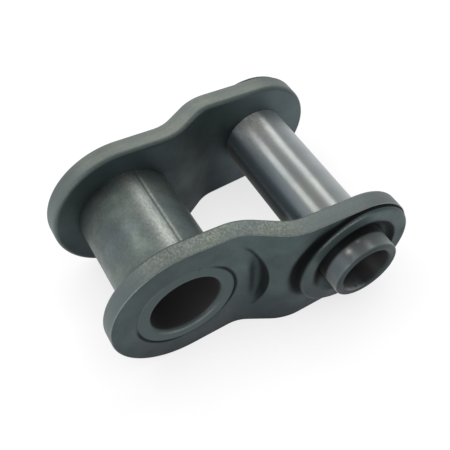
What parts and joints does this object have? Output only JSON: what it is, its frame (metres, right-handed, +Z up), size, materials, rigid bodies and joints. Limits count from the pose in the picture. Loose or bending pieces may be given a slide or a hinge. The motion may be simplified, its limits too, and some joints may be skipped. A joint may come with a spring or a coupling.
{
  "type": "offset link",
  "caption": "Offset link of a rollerless hollow-pin chain: cranked side plates pressed onto a curled bushing at the narrow end and a hollow pin at the wide end.",
  "frame": {"origin": "middle of the bushing's bore, halfway between the plates", "axes": "+X from the bushing to the hollow pin, +Y along both axes to the rear plate, +Z up across the plates' height"},
  "size_m": [0.0351, 0.0286, 0.0172],
  "materials": {
    "plate_steel": "dark heat-treated steel, lightly oiled",
    "bushing_steel": "grey curled steel with temper stains",
    "pin_steel": "ground steel tube"
  },
  "bodies": {
    "root": {"front_plate": "plate_steel", "rear_plate": "plate_steel", "bushing": "bushing_steel", "hollow_pin": "pin_steel"}
  },
  "joints": []
}
